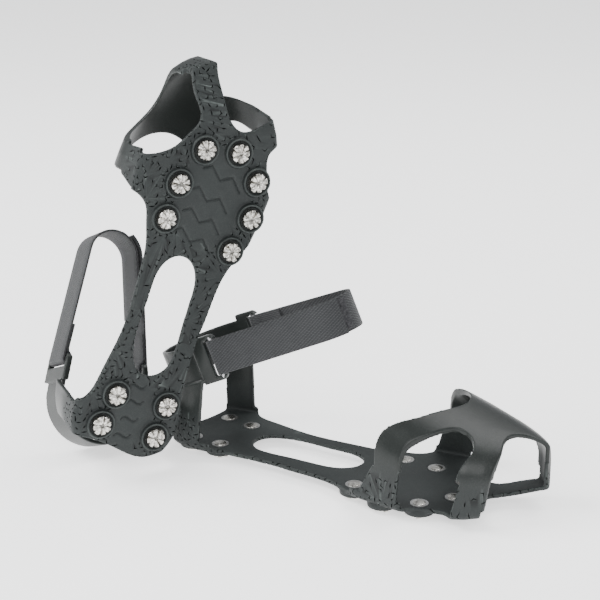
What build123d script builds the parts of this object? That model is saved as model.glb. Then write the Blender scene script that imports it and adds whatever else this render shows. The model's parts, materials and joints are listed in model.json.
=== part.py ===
from build123d import *
from math import acos, asin, atan2, cos, degrees, pi, radians, sin, sqrt
import os

# A pair of slip-on shoe ice cleats with ankle straps, millimetres.
# Each cleat is modelled in its foot's frame: +X medial, +Y to the toe, +Z up, stud tips at z = 0.
# The left cleat stands on its studs.  The right one is its mirror image and stands on its heel.

# harness
rubber = 3.0                    # thickness of plate, arms and toe web
plate_underside = 6.0           # height of the plate's underside over the stud tips
edge_round = 5.0                # outside radius where the arms turn up round the sole
arm_top = 34.0                  # height at which the side arms run into the toe web

# forefoot form
toe_start = 208.0               # where the forefoot is widest
toe_length = 76.0               # from there to the tip
forefoot_medial = 59.0
forefoot_lateral = 43.0
toe_spring_start = 235.0
toe_spring = 0.0037             # rise of the sole per square millimetre past that place
toe_height = 72.0               # over the floor where the forefoot is widest
toe_slope = 0.33
instep_slope = 0.5
medial_waist = 0.056            # how fast each side draws in behind the widest place
lateral_waist = 0.022
waist_power = 1.3
waist_stations = 5
toe_shares = [0, 0.18, 0.35, 0.5, 0.63, 0.74, 0.83, 0.9, 0.95, 0.985]
tip_corner = 1.9                # how late the lower corner shrinks towards the tip
shoulder_share = 0.42           # share of the height with straight sides
dome_fullness = 0.6
plate_back = 140.0              # where the forefoot plate begins
shell_back = 125.0

# heel form
heel_centre_x = -4.0
heel_centre_y = 38.0
heel_half_width = 40.0
heel_taper = 5.0
heel_form_height = 70.0
heel_plate_front = 84.0
heel_shell_front = 96.0

# window between the rails
window_front = 153.0
window_back = 68.5
rail_split = 2.0                # the rails lie on each side of this x

# leaning strips above the arm roots: (rear, front) where the strip begins, then where it ends
rear_medial_strip = [(173.5, 202.5), (184, 204)]
front_medial_strip = [(238.5, 257), (243.5, 260)]
rear_lateral_strip = [(190.5, 217.5), (196, 216)]
heel_medial_strip = [(17.5, 41), (20, 44)]
heel_lateral_strip = [(21.5, 42.5), (23, 44)]
toe_strip = (-22.5, -1.5)       # lateral and medial edge of the strip over the toe
heel_strip_rise = 60.0
arm_split = 220.0               # the rear arms' roots end before this place, the front ones' begin past it
toe_arm_side = 20.0             # between the toe arm's root and the front medial arm's

# studs
stud_radius = 6.7
stud_teeth = 8
stud_tooth_depth = 1.3
stud_draft = 8.0
dimple_radius = 1.3
dimple_depth = 1.0
shank_radius = 3.0
boss_radius = 10.0
boss_height = 3.2
recess_radius = 8.5
recess_depth = 1.6
washer_radius = 6.0
washer_thickness = 1.2
fit_gap = 0.05
forefoot_stud_places = [(-1, 226), (24, 229), (-13, 201), (42.5, 212.5), (-16, 176.5), (45, 187.5),
                        (36.5, 163)]
heel_stud_places = [(-18.5, 53.5), (-24, 31.5), (20, 50), (17.5, 27)]

# grooves in the underside
groove_width = 1.7
groove_depth = 1.1
zigzag_starts = [(1.5, 214), (-4, 198.5), (-5.5, 183.5), (-8.5, 169.5)]
zigzag_steps = [(0, 0), (7, 3), (15, -5.5), (24, -2), (32, -11.5)]
wave_starts = [(-10, 59), (-9, 48), (-9.7, 35.5), (-12, 23.5)]
wave_steps = [(0, 0), (3.5, 2.8), (8.5, 0.6), (13, 3.4)]

# ankle loop, laid out in its own tilted plane
loop_tilt = 24.0
loop_height = 53.0              # height of the loop's middle at the back of the heel
loop_centre_x = -3.0
loop_heel_radius = 30.0
loop_heel_centre = 33.0
loop_instep_radius = 17.0
loop_instep_centre = 136.0
band_thickness = 2.8
band_width = 25.0
band_reach = 9.0                # how far the band follows the straight side
ear_base_end = 15.0             # where the slot behind the bar begins
ear_height = 33.0
ear_corner = 4.0
bar_radius = 2.0
bar_place = 20.5                # along the side, from the end of the heel arc
bar_cover = 0.15                # rubber left over and under the bar
bar_length = 30.0
lug_thickness = 3.4
lug_end = 24.0
strap_width = 25.0
strap_thickness = 1.6
eye_gap = 0.1
under_strap_offset = 0.6        # under strap's inner face over the loop line
loop_patch_thickness = 1.0
hook_patch_thickness = 0.8
patch_gap = 0.3
patch_width = 21.0
over_strap_end = 52.0           # degrees round the instep arc, from the medial side
under_strap_tail = 44.0         # length of the under strap beyond the instep arc
loop_patch_end = 72.0
loop_patch_tail = 40.0
hook_patch_end = 46.0
hook_patch_tail = 34.0

# pose of the right cleat beside the left one
right_x = 88.6
right_y = 14.9
right_turn = 56.0
right_roll = 17.5

plate_top = plate_underside + rubber
boss_face = plate_underside - boss_height
recess_floor = boss_face + recess_depth
toe_arm_low = 22.0              # up to here the plan outline shapes the toe arm, then its front view
arm_low = plate_underside + edge_round + 2
cut = 200.0                     # longer than any piece
loop_plane = Plane(origin=(loop_centre_x, 0, loop_height), x_dir=(1, 0, 0),
                   z_dir=(0, -sin(radians(loop_tilt)), cos(radians(loop_tilt))))
loop_mirror = Plane.YZ.offset(loop_centre_x)
side_angle = asin((loop_heel_radius - loop_instep_radius) / (loop_instep_centre - loop_heel_centre))
side_length = (loop_instep_centre - loop_heel_centre) * cos(side_angle)
band_end = loop_heel_centre + band_reach
bar_hole = bar_radius + eye_gap
under_strap_outer = under_strap_offset + strap_thickness
patch_stack = under_strap_outer + loop_patch_thickness + patch_gap + hook_patch_thickness

# the bars stand far enough out for the ear's rubber to close round them and for the patches under the strap
bar_offset = max(bar_radius + fit_gap + bar_cover, patch_stack - bar_hole)
ear_thickness = bar_offset + bar_radius + fit_gap + bar_cover
over_strap_inner = bar_offset + bar_hole
over_strap_outer = over_strap_inner + strap_thickness


def toe_section(y, lateral, medial, bottom, top, corner):
    """One cross-section of the forefoot form: flat sole, round corners, straight sides, domed top."""
    shoulder = bottom + corner + shoulder_share * (top - bottom - corner)
    rise = dome_fullness * (top - shoulder)
    with BuildSketch(Plane.XZ.offset(-y), mode=Mode.PRIVATE) as section:
        with BuildLine():
            Line((corner - lateral, bottom), (medial - corner, bottom))
            RadiusArc((medial - corner, bottom), (medial, bottom + corner), -corner)
            Line((medial, bottom + corner), (medial, shoulder))
            Bezier((medial, shoulder), (medial, shoulder + rise), (dome_fullness * medial, top), (0, top))
            Bezier((0, top), (-dome_fullness * lateral, top), (-lateral, shoulder + rise),
                   (-lateral, shoulder))
            Line((-lateral, shoulder), (-lateral, bottom + corner))
            RadiusArc((-lateral, bottom + corner), (corner - lateral, bottom), -corner)
        make_face()
    return section.sketch


def toe_stations(inset):
    """Places along the forefoot form, each with its medial and lateral half width, moved in by inset."""
    waist_step = (toe_start - shell_back) / waist_stations
    places = [(shell_back + step * waist_step, 0) for step in range(waist_stations)]
    places += [(toe_start + (toe_length - inset) * share, share) for share in toe_shares]
    stations = []
    for y, share in places:
        drawn_in = max(0, toe_start - y) ** waist_power
        narrow = sqrt(1 - share ** 2)
        medial = (forefoot_medial - medial_waist * drawn_in - inset) * narrow
        lateral = (forefoot_lateral - lateral_waist * drawn_in - inset) * narrow
        stations.append((y, medial, lateral, narrow))
    return stations


def toe_form(inset):
    """Sections of the forefoot form from the waist to the toe tip, moved in by inset."""
    sections = []
    for y, medial, lateral, narrow in toe_stations(inset):
        spring = toe_spring * max(0, y - toe_spring_start) ** 2
        top = toe_height + instep_slope * max(0, toe_start - y) - toe_slope * max(0, y - toe_start)
        corner = (edge_round - inset) * min(1, tip_corner * narrow)
        bottom = plate_underside + spring + inset
        sections.append(toe_section(y, lateral, medial, bottom, top - inset, corner))
    return sections


def footprint(inset):
    """Plan of the forefoot form moved in by inset."""
    medial_edge = [(medial, y) for y, medial, lateral, narrow in toe_stations(inset)]
    lateral_edge = [(-lateral, y) for y, medial, lateral, narrow in toe_stations(inset)]
    with BuildSketch(mode=Mode.PRIVATE) as plan:
        with BuildLine():
            Polyline(*medial_edge, *reversed(lateral_edge), close=True)
        make_face()
    return plan.sketch


def heel_outline(inset):
    """Plan of the heel form moved in by inset, at the height of its own underside."""
    half_width = heel_half_width - inset
    with BuildSketch(Plane.XY.offset(plate_underside + inset), mode=Mode.PRIVATE) as outline:
        with Locations((heel_centre_x, heel_centre_y)):
            Circle(half_width)
            Rectangle(2 * half_width, heel_shell_front - heel_centre_y, align=(Align.CENTER, Align.MIN))
    return outline.sketch


def loop_area(grow):
    """Area inside the ankle loop line moved out by grow, in loop plane coordinates."""
    rear = loop_heel_radius + grow
    front = loop_instep_radius + grow
    with BuildSketch(mode=Mode.PRIVATE) as area:
        with Locations((0, loop_heel_centre)):
            Circle(rear)
        with Locations((0, loop_instep_centre)):
            Circle(front)
        with BuildLine():
            Polyline(
                (rear * cos(side_angle), loop_heel_centre + rear * sin(side_angle)),
                (front * cos(side_angle), loop_instep_centre + front * sin(side_angle)),
                (-front * cos(side_angle), loop_instep_centre + front * sin(side_angle)),
                (-rear * cos(side_angle), loop_heel_centre + rear * sin(side_angle)),
                close=True,
            )
        make_face()
    return area.sketch


def side_point(along, out):
    """Point beside the medial straight of the loop, in loop plane coordinates."""
    reach = loop_heel_radius + out
    return (reach * cos(side_angle) - along * sin(side_angle),
            loop_heel_centre + reach * sin(side_angle) + along * cos(side_angle))


side_plane = Plane(
    origin=loop_plane.from_local_coords(Vector(*side_point(0, 0), 0)),
    x_dir=loop_plane.y_dir * cos(side_angle) - loop_plane.x_dir * sin(side_angle),
    z_dir=loop_plane.x_dir * cos(side_angle) + loop_plane.y_dir * sin(side_angle),
)


def instep_point(angle, out):
    """Point over the instep arc, with the angle from the medial side."""
    reach = loop_instep_radius + out
    return (reach * cos(radians(angle)), loop_instep_centre + reach * sin(radians(angle)))


def layer(tail, end_angle, inner, outer):
    """Strip that hugs the medial straight for a length tail and the instep arc up to an angle."""
    first = degrees(side_angle)
    middle = 0.5 * (first + end_angle)
    with BuildSketch(mode=Mode.PRIVATE) as strip:
        with BuildLine():
            Line(side_point(side_length - tail, outer), side_point(side_length, outer))
            ThreePointArc(side_point(side_length, outer), instep_point(middle, outer),
                          instep_point(end_angle, outer))
            Line(instep_point(end_angle, outer), instep_point(end_angle, inner))
            ThreePointArc(instep_point(end_angle, inner), instep_point(middle, inner),
                          side_point(side_length, inner))
            Line(side_point(side_length, inner), side_point(side_length - tail, inner))
            Line(side_point(side_length - tail, inner), side_point(side_length - tail, outer))
        make_face()
    return strip.sketch


def strip_zone(strip, top, x_from, x_to):
    """Leaning slab from arm_low up to top, with the strip's rear and front at each of the two heights."""
    low, high = strip
    with BuildPart() as prism:
        with BuildSketch(Plane.YZ.offset(x_from)):
            with BuildLine():
                Polyline((low[0], arm_low), (low[1], arm_low), (high[1], top), (high[0], top), close=True)
            make_face()
        extrude(amount=x_to - x_from)
    return prism.part


def slab(x_from, x_to, y_from, y_to, z_from, z_to):
    """Block between the given limits."""
    corner = (Align.MIN, Align.MIN, Align.MIN)
    block = Box(x_to - x_from, y_to - y_from, z_to - z_from, align=corner, mode=Mode.PRIVATE)
    return block.moved(Location((x_from, y_from, z_from)))


# ---- forms that the harness is cut from
with BuildPart() as toe_shell:
    loft(toe_form(0), ruled=True)
    loft(toe_form(rubber), ruled=True, mode=Mode.SUBTRACT)

with BuildPart() as heel_inside:
    add(heel_outline(rubber))
    extrude(amount=heel_form_height + rubber, taper=heel_taper)
    fillet(heel_inside.faces().sort_by(Axis.Z)[0].edges(), edge_round - rubber)

with BuildPart() as heel_shell:
    add(heel_outline(0))
    extrude(amount=heel_form_height, taper=heel_taper)
    fillet(heel_shell.faces().sort_by(Axis.Z)[0].edges(), edge_round)
    add(heel_inside.part, mode=Mode.SUBTRACT)

# outline of the sole piece seen from above, with the six arm roots running out past the shoe
with BuildSketch() as sole_outline:
    with BuildLine():
        Spline((31.5, 102), (34, 118), (39.5, 148), (45, 159), (53, 170), (72, 175))
        Line((72, 175), (72, 202))
        Spline((72, 202), (58, 203), (52.5, 211), (49, 222), (47.5, 231), (52, 238), (72, 239))
        Line((72, 239), (72, 257))
        Spline((72, 257), (47, 256.5), (40, 252), (33, 246.5), (24, 243), (16, 246), (10, 253), (4.5, 263),
               (-1, 274), (-2, 292))
        Line((-2, 292), (-22, 292))
        Spline((-22, 292), (-20.5, 272), (-15, 258), (-9, 249), (-8.5, 243), (-13, 235), (-20, 225),
               (-29, 218.5), (-62, 217.5))
        Line((-62, 217.5), (-62, 190.5))
        Spline((-62, 190.5), (-40, 189), (-31, 182), (-27.7, 172), (-24, 158), (-23, 142), (-23.2, 124),
               (-23.6, 107), (-27, 86), (-32, 66), (-37, 51), (-46, 43), (-66, 42))
        Line((-66, 42), (-66, 22))
        Spline((-66, 22), (-37, 21), (-24, 19.5), (-10, 16), (5, 11.5), (14, 11), (25, 15), (36, 18),
               (60, 19))
        Line((60, 19), (60, 40))
        Spline((60, 40), (37, 43), (31.5, 53), (30.5, 66), (30.5, 82), (31.5, 102))
    make_face()

with BuildSketch() as window_outline:
    with BuildLine():
        Spline((4, window_front), (13, 149), (18.5, 138), (19, 128), (18, 106), (17.5, 88), (14, 75),
               (3, window_back), (-8, 72.5), (-13, 83), (-14.5, 102), (-12.5, 122), (-8, 146), periodic=True)
    make_face()

# toe web seen from above
with BuildSketch() as web_outline:
    with BuildLine():
        Spline((72, 184), (55, 186), (47, 196), (37, 207), (22, 217), (0, 226), (-18, 221), (-31, 209),
               (-40, 199), (-62, 196))
        Line((-62, 196), (-62, 216))
        Spline((-62, 216), (-40, 219), (-30, 229), (-22.5, 242), (-20.5, 256), (-23, 272), (-23, 292))
        Line((-23, 292), (-1, 292))
        Spline((-1, 292), (-1.5, 275), (6, 264), (18, 260), (28, 261.5), (40, 260.5), (72, 260))
        Line((72, 260), (72, 243.5))
        Spline((72, 243.5), (47, 243.5), (38, 246), (31, 242), (29, 234.5), (34, 227), (46, 216), (55, 206.5),
               (72, 204))
        Line((72, 204), (72, 184))
    make_face()

with BuildPart() as sole_zone:
    add(sole_outline.sketch)
    extrude(amount=toe_arm_low)

with BuildPart() as inner_toe_zone:
    add(footprint(edge_round))
    extrude(amount=arm_top)

with BuildPart() as inner_heel_zone:
    add(heel_outline(edge_round))
    extrude(amount=-plate_underside - edge_round)

with BuildPart() as window_zone:
    add(window_outline.sketch)
    extrude(amount=plate_top + rubber)

with BuildPart() as grooves:
    with BuildSketch(Plane.XY.offset(plate_underside)):
        for start_x, start_y in zigzag_starts:
            with BuildLine(mode=Mode.PRIVATE) as zigzag:
                Polyline(*[(start_x + step_x, start_y + step_y) for step_x, step_y in zigzag_steps])
            trace(zigzag.line, groove_width)
        for start_x, start_y in wave_starts:
            with BuildLine(mode=Mode.PRIVATE) as wave:
                Spline(*[(start_x + step_x, start_y + step_y) for step_x, step_y in wave_steps])
            trace(wave.line, groove_width)
    extrude(amount=groove_depth)

# round bosses for the studs, and the room that each stud and its washer takes
with BuildPart() as bosses:
    with BuildSketch(Plane.XY.offset(boss_face)):
        with Locations(*forefoot_stud_places, *heel_stud_places):
            Circle(boss_radius)
    extrude(amount=boss_height)

with BuildPart() as stud_room:
    with BuildSketch(Plane.XY.offset(boss_face)):
        with Locations(*forefoot_stud_places, *heel_stud_places):
            Circle(recess_radius)
    extrude(amount=recess_depth)
    with BuildSketch(Plane.XY.offset(boss_face)):
        with Locations(*forefoot_stud_places, *heel_stud_places):
            Circle(shank_radius + fit_gap)
    extrude(amount=plate_top)
    with BuildSketch(Plane.XY.offset(plate_top - washer_thickness)):
        with Locations(*forefoot_stud_places, *heel_stud_places):
            Circle(washer_radius + fit_gap)
    extrude(amount=rubber)

# ---- sole pieces
with BuildPart() as forefoot_plate:
    add(toe_shell.part)
    add(sole_zone.part, mode=Mode.INTERSECT)
    add(inner_toe_zone.part, mode=Mode.INTERSECT)
    add(slab(-cut, cut, plate_back, 2 * cut, 0, cut), mode=Mode.INTERSECT)
    add(window_zone.part, mode=Mode.SUBTRACT)
    add(grooves.part, mode=Mode.SUBTRACT)
    add(bosses.part & slab(-cut, cut, plate_back, 2 * cut, 0, cut))
    add(stud_room.part, mode=Mode.SUBTRACT)

with BuildPart() as heel_plate:
    with BuildSketch(Plane.XY.offset(plate_underside)):
        add(sole_outline.sketch)
    extrude(amount=rubber)
    add(inner_heel_zone.part, mode=Mode.INTERSECT)
    add(slab(-cut, cut, -cut, heel_plate_front, 0, cut), mode=Mode.INTERSECT)
    add(window_zone.part, mode=Mode.SUBTRACT)
    add(grooves.part, mode=Mode.SUBTRACT)
    add(bosses.part & slab(-cut, cut, -cut, heel_plate_front, 0, cut))
    add(stud_room.part, mode=Mode.SUBTRACT)

with BuildPart() as medial_rail:
    with BuildSketch(Plane.XY.offset(plate_underside)):
        add(sole_outline.sketch)
        add(window_outline.sketch, mode=Mode.SUBTRACT)
    extrude(amount=rubber)
    add(slab(rail_split, cut, heel_plate_front, plate_back, 0, cut), mode=Mode.INTERSECT)

with BuildPart() as lateral_rail:
    with BuildSketch(Plane.XY.offset(plate_underside)):
        add(sole_outline.sketch)
        add(window_outline.sketch, mode=Mode.SUBTRACT)
    extrude(amount=rubber)
    add(slab(-cut, rail_split, heel_plate_front, plate_back, 0, cut), mode=Mode.INTERSECT)


# ---- side arms, each with a curved root below and a leaning strip above
rear_medial_zone = strip_zone(rear_medial_strip, arm_top, 0, cut)
front_medial_zone = strip_zone(front_medial_strip, arm_top, 0, cut)
rear_lateral_zone = strip_zone(rear_lateral_strip, arm_top, -cut, 0)
heel_medial_zone = strip_zone(heel_medial_strip, arm_low + heel_strip_rise, heel_centre_x, cut)
heel_lateral_zone = strip_zone(heel_lateral_strip, arm_low + heel_strip_rise, -cut, heel_centre_x)

with BuildPart() as rear_medial_arm:
    add(toe_shell.part)
    add(sole_zone.part, mode=Mode.INTERSECT)
    add(slab(0, cut, plate_back, arm_split, 0, arm_low), mode=Mode.INTERSECT)
    add(inner_toe_zone.part, mode=Mode.SUBTRACT)
    add(toe_shell.part & rear_medial_zone)

with BuildPart() as front_medial_arm:
    add(toe_shell.part)
    add(sole_zone.part, mode=Mode.INTERSECT)
    add(slab(toe_arm_side, cut, arm_split, 2 * cut, 0, arm_low), mode=Mode.INTERSECT)
    add(inner_toe_zone.part, mode=Mode.SUBTRACT)
    add(toe_shell.part & front_medial_zone)

with BuildPart() as rear_lateral_arm:
    add(toe_shell.part)
    add(sole_zone.part, mode=Mode.INTERSECT)
    add(slab(-cut, 0, plate_back, arm_split, 0, arm_low), mode=Mode.INTERSECT)
    add(inner_toe_zone.part, mode=Mode.SUBTRACT)
    add(toe_shell.part & rear_lateral_zone)

with BuildPart() as toe_arm:
    add(toe_shell.part)
    add(sole_zone.part, mode=Mode.INTERSECT)
    add(slab(-cut, toe_arm_side, arm_split, 2 * cut, 0, toe_arm_low), mode=Mode.INTERSECT)
    add(inner_toe_zone.part, mode=Mode.SUBTRACT)
    add(toe_shell.part & slab(*toe_strip, arm_split, 2 * cut, toe_arm_low, arm_top))

with BuildPart() as toe_web:
    add(web_outline.sketch)
    extrude(amount=cut)
    add(toe_shell.part, mode=Mode.INTERSECT)
    add(slab(-cut, cut, 0, 2 * cut, arm_top, cut), mode=Mode.INTERSECT)

with BuildPart() as under_band_zone:
    with BuildSketch(loop_plane.offset(-band_width / 2)):
        Rectangle(cut, cut)
    extrude(amount=-cut)

with BuildPart() as heel_medial_arm:
    add(heel_shell.part)
    add(sole_zone.part, mode=Mode.INTERSECT)
    add(slab(heel_centre_x, cut, -cut, heel_plate_front, 0, arm_low), mode=Mode.INTERSECT)
    add(inner_heel_zone.part, mode=Mode.SUBTRACT)
    add(heel_shell.part & heel_medial_zone)
    add(under_band_zone.part, mode=Mode.INTERSECT)

with BuildPart() as heel_lateral_arm:
    add(heel_shell.part)
    add(sole_zone.part, mode=Mode.INTERSECT)
    add(slab(-cut, heel_centre_x, -cut, heel_plate_front, 0, arm_low), mode=Mode.INTERSECT)
    add(inner_heel_zone.part, mode=Mode.SUBTRACT)
    add(heel_shell.part & heel_lateral_zone)
    add(under_band_zone.part, mode=Mode.INTERSECT)

# ---- ankle band with an ear at each end
with BuildPart() as band_zone:
    with BuildSketch(loop_plane.offset(-cut / 2)):
        with Locations((0, band_end)):
            Rectangle(cut, cut, align=(Align.CENTER, Align.MAX))
    extrude(amount=cut)

with BuildPart() as ankle_band:
    with BuildSketch(loop_plane.offset(-band_width / 2)):
        add(loop_area(band_thickness))
        add(loop_area(0), mode=Mode.SUBTRACT)
    extrude(amount=band_width)
    add(band_zone.part, mode=Mode.INTERSECT)

with BuildPart() as medial_ear:
    with BuildSketch(side_plane):
        RectangleRounded(2 * lug_end, ear_height, ear_corner)
    extrude(amount=ear_thickness)
    with BuildSketch(side_plane):
        with Locations((ear_base_end, 0)):
            Rectangle(cut, ear_height - 2 * lug_thickness, align=(Align.MIN, Align.CENTER))
    extrude(amount=ear_thickness, mode=Mode.SUBTRACT)
    with BuildSketch(loop_plane.offset(-bar_length / 2)):
        with Locations(side_point(bar_place, bar_offset)):
            Circle(bar_radius + fit_gap)
    extrude(amount=bar_length, mode=Mode.SUBTRACT)
    add(band_zone.part, mode=Mode.SUBTRACT)

with BuildPart() as lateral_ear:
    mirror(medial_ear.part, about=loop_mirror)

with BuildPart() as strap_bars:
    with BuildSketch(loop_plane.offset(fit_gap - bar_length / 2)):
        with Locations(side_point(bar_place, bar_offset)):
            Circle(bar_radius)
    extrude(amount=bar_length - 2 * fit_gap)
    mirror(about=loop_mirror)

# ---- webbing straps: the under strap comes from the lateral ear, the over strap lies on it
with BuildPart() as over_strap:
    with BuildSketch(loop_plane.offset(-strap_width / 2)):
        add(layer(side_length - bar_place, over_strap_end, over_strap_inner, over_strap_outer))
        with Locations(side_point(bar_place, bar_offset)):
            Circle(bar_hole + strap_thickness)
            Circle(bar_hole, mode=Mode.SUBTRACT)
    extrude(amount=strap_width)

# the under strap runs straight from the outside of its eye to the instep arc
eye_x, eye_y = side_point(bar_place, bar_offset)
eye_to_arc = sqrt(eye_x ** 2 + (loop_instep_centre - eye_y) ** 2)
closing = (bar_hole - loop_instep_radius - under_strap_offset) / eye_to_arc
lean = acos(closing) - atan2(eye_x, loop_instep_centre - eye_y)
out_x, out_y = -sin(lean), cos(lean)

with BuildPart() as under_strap:
    with BuildSketch(loop_plane.offset(-strap_width / 2)):
        with BuildLine():
            inner_reach = loop_instep_radius + under_strap_offset
            outer_reach = loop_instep_radius + under_strap_outer
            eye_reach = bar_hole + strap_thickness
            eye_outer = (out_x * eye_reach - eye_x, out_y * eye_reach + eye_y)
            eye_inner = (out_x * bar_hole - eye_x, out_y * bar_hole + eye_y)
            arc_outer = (out_x * outer_reach, out_y * outer_reach + loop_instep_centre)
            arc_inner = (out_x * inner_reach, out_y * inner_reach + loop_instep_centre)
            tail_start = side_length - under_strap_tail
            Line(eye_outer, arc_outer)
            ThreePointArc(arc_outer, instep_point(90, under_strap_outer),
                          side_point(side_length, under_strap_outer))
            Line(side_point(side_length, under_strap_outer), side_point(tail_start, under_strap_outer))
            Line(side_point(tail_start, under_strap_outer), side_point(tail_start, under_strap_offset))
            Line(side_point(tail_start, under_strap_offset), side_point(side_length, under_strap_offset))
            ThreePointArc(side_point(side_length, under_strap_offset), instep_point(90, under_strap_offset),
                          arc_inner)
            Line(arc_inner, eye_inner)
            Line(eye_inner, eye_outer)
        make_face()
        with Locations((-eye_x, eye_y)):
            Circle(bar_hole + strap_thickness)
            Circle(bar_hole, mode=Mode.SUBTRACT)
    extrude(amount=strap_width)

with BuildPart() as loop_patch:
    with BuildSketch(loop_plane.offset(-patch_width / 2)):
        add(layer(loop_patch_tail, loop_patch_end, under_strap_outer + fit_gap,
                  under_strap_outer + loop_patch_thickness))
    extrude(amount=patch_width)

with BuildPart() as hook_patch:
    with BuildSketch(loop_plane.offset(-patch_width / 2)):
        add(layer(hook_patch_tail, hook_patch_end, over_strap_inner - hook_patch_thickness,
                  over_strap_inner - fit_gap))
    extrude(amount=patch_width)

# ---- cast studs and their washers
star = []
for point in range(2 * stud_teeth):
    reach = stud_radius if point % 2 == 0 else stud_radius - stud_tooth_depth
    star.append((reach * cos(pi * point / stud_teeth), reach * sin(pi * point / stud_teeth)))

with BuildPart() as stud:
    with BuildSketch(Plane.XY.offset(recess_floor)):
        with BuildLine():
            Polyline(*star, close=True)
        make_face()
    extrude(amount=-recess_floor, taper=stud_draft)
    with BuildSketch(Plane.XY.offset(recess_floor)):
        Circle(shank_radius)
    extrude(amount=plate_top - recess_floor - fit_gap)
    with BuildSketch(Plane.XY):
        Circle(dimple_radius)
    extrude(amount=dimple_depth, mode=Mode.SUBTRACT)

with BuildPart() as washer:
    with BuildSketch(Plane.XY.offset(plate_top - washer_thickness + fit_gap)):
        Circle(washer_radius)
        Circle(shank_radius + fit_gap, mode=Mode.SUBTRACT)
    extrude(amount=washer_thickness - 2 * fit_gap)

with BuildPart() as forefoot_studs:
    with Locations(*forefoot_stud_places):
        add(stud.part)

with BuildPart() as heel_studs:
    with Locations(*heel_stud_places):
        add(stud.part)

with BuildPart() as stud_washers:
    with Locations(*forefoot_stud_places, *heel_stud_places):
        add(washer.part)

forefoot_plate.part.label = "forefoot_plate"
heel_plate.part.label = "heel_plate"
medial_rail.part.label = "medial_rail"
lateral_rail.part.label = "lateral_rail"
rear_medial_arm.part.label = "rear_medial_arm"
front_medial_arm.part.label = "front_medial_arm"
rear_lateral_arm.part.label = "rear_lateral_arm"
toe_arm.part.label = "toe_arm"
toe_web.part.label = "toe_web"
heel_medial_arm.part.label = "heel_medial_arm"
heel_lateral_arm.part.label = "heel_lateral_arm"
ankle_band.part.label = "ankle_band"
medial_ear.part.label = "medial_ear"
lateral_ear.part.label = "lateral_ear"
strap_bars.part.label = "strap_bars"
over_strap.part.label = "over_strap"
under_strap.part.label = "under_strap"
hook_patch.part.label = "hook_patch"
loop_patch.part.label = "loop_patch"
forefoot_studs.part.label = "forefoot_studs"
heel_studs.part.label = "heel_studs"
stud_washers.part.label = "stud_washers"

pieces = [
    forefoot_plate.part, heel_plate.part, medial_rail.part, lateral_rail.part,
    rear_medial_arm.part, front_medial_arm.part, rear_lateral_arm.part, toe_arm.part, toe_web.part,
    heel_medial_arm.part, heel_lateral_arm.part, ankle_band.part, medial_ear.part, lateral_ear.part,
    strap_bars.part, over_strap.part, under_strap.part, hook_patch.part, loop_patch.part,
    forefoot_studs.part, heel_studs.part, stud_washers.part,
]

# ---- the right cleat: mirror image, standing on its heel with the studs turned to the viewer
facing = Vector(cos(radians(right_turn)), sin(radians(right_turn)), 0)
level = Vector(-sin(radians(right_turn)), cos(radians(right_turn)), 0)
across = level * cos(radians(right_roll)) - facing.cross(level) * sin(radians(right_roll))
right_place = Plane(origin=(right_x, right_y, 0), x_dir=-across, z_dir=-facing).location
right_pieces = [mirror(piece, about=Plane.YZ).moved(right_place) for piece in pieces]
drop = min(piece.bounding_box().min.Z for piece in right_pieces)
right_pieces = [piece.moved(Location((0, 0, -drop))) for piece in right_pieces]

# ---- origin at the middle of the pair, on the floor
boxes = [piece.bounding_box() for piece in pieces + right_pieces]
middle_x = (min(box.min.X for box in boxes) + max(box.max.X for box in boxes)) / 2
middle_y = (min(box.min.Y for box in boxes) + max(box.max.Y for box in boxes)) / 2
to_origin = Location((-middle_x, -middle_y, 0))
eye_centre = loop_plane.from_local_coords(Vector(*side_point(bar_place, bar_offset), 0))
print("origin from the left foot frame", middle_x, middle_y, "right cleat dropped by", drop)
print("medial strap bar", eye_centre, "bar direction", loop_plane.z_dir)

os.makedirs("parts", exist_ok=True)
for left_piece, right_piece in zip(pieces, right_pieces):
    name = left_piece.label
    left_cleat_piece = left_piece.moved(to_origin)
    left_cleat_piece.label = "left_" + name
    export_step(left_cleat_piece, "parts/left_" + name + ".step")
    right_cleat_piece = right_piece.moved(to_origin)
    right_cleat_piece.label = "right_" + name
    export_step(right_cleat_piece, "parts/right_" + name + ".step")
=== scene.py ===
import json
import random
from math import asin, atan2, cos, degrees, hypot, pi, radians, sin

import bmesh
import bpy
from mathutils import Matrix, Vector, noise


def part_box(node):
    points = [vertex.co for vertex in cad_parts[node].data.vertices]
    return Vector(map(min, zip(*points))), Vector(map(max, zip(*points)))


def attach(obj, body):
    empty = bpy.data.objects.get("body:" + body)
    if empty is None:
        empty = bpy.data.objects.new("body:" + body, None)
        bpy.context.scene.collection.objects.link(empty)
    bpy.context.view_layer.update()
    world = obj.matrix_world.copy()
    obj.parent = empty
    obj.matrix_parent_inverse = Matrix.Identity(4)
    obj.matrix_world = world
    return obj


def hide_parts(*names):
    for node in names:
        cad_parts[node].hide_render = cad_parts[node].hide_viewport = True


# A pair of slip-on shoe ice cleats: moulded rubber harnesses, cast steel studs and webbing ankle straps.
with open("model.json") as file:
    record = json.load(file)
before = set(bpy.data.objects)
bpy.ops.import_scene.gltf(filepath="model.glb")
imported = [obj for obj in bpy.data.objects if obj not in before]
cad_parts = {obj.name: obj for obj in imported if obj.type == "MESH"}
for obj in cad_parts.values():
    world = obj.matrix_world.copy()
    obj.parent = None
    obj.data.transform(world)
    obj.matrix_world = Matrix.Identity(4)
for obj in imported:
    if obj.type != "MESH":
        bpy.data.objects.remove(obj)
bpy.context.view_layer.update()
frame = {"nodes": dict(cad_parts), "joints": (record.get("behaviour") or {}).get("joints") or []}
mm = 0.001


# frames

joints = {joint["name"]: joint for joint in frame["joints"]}
heelStuds = {"low": (-30.7, 20.3)}  # lowest x and y of the left heel studs in the foot frame, mm

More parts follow.
